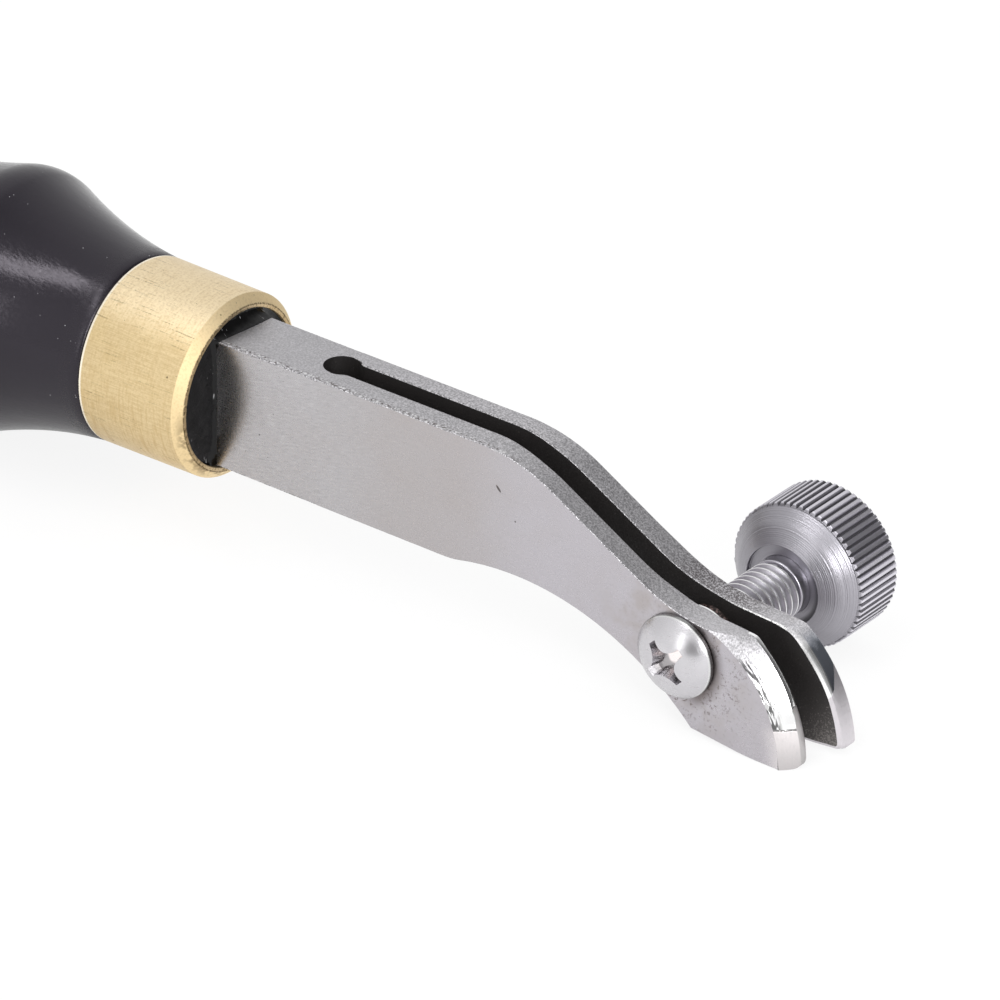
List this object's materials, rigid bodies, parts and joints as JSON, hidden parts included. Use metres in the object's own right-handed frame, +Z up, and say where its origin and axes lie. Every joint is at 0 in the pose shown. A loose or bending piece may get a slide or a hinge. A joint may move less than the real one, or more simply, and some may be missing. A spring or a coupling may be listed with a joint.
{
  "type": "leather edge creaser",
  "caption": "Adjustable leather edge creaser: a slit, S-bent steel blade with two polished jaws, set apart by a knurled thumb screw, in a turned black handle with a brass ferrule.",
  "frame": {"origin": "centre of the flat on the handle's butt", "axes": "+X along the tool from the butt to the jaws, +Y to the thumb knob's side, +Z up, away from the jaws' soles"},
  "size_m": [0.1576, 0.0308, 0.0257],
  "materials": {
    "black_lacquered_wood": "satin black lacquer over turned wood",
    "brushed_brass": "brushed along the axis",
    "black_bedding": "glossy black setting compound",
    "satin_steel": "satin ground, jaws polished",
    "turned_steel": "turned and knurled",
    "bright_steel": "bright stainless"
  },
  "bodies": {
    "grip": {"handle": "black_lacquered_wood", "ferrule": "brushed_brass", "ferrule_bedding": "black_bedding", "blade_shank": "satin_steel"},
    "near_leaf": {"near_tine": "satin_steel"},
    "far_leaf": {"far_tine": "satin_steel"},
    "thumb_screw": {"adjusting_stud": "turned_steel", "thumb_knob": "turned_steel", "thrust_washer": "bright_steel", "retaining_screw": "bright_steel"}
  },
  "joints": [
    {"name": "near_leaf_flex", "type": "hinge", "parent": "grip", "child": "near_leaf", "pos_m": [0.1087, -0.00215, -0.0002], "axis": [0, 0, -1], "range_deg": [-0.96, 1.6]},
    {"name": "far_leaf_flex", "type": "hinge", "parent": "grip", "child": "far_leaf", "pos_m": [0.1087, 0.0024, -0.0002], "axis": [0, 0, 1], "range_deg": [-0.96, 1.6]},
    {"name": "thumb_screw_turn", "type": "hinge", "parent": "near_leaf", "child": "thumb_screw", "pos_m": [0.1447, 0, -0.0064], "axis": [0, -1, 0], "range_deg": [-540, 900]}
  ],
  "couplings": [
    {"joint": "near_leaf_flex", "follows": "thumb_screw_turn", "ratio": 0.0017684},
    {"joint": "far_leaf_flex", "follows": "thumb_screw_turn", "ratio": 0.0017684}
  ]
}
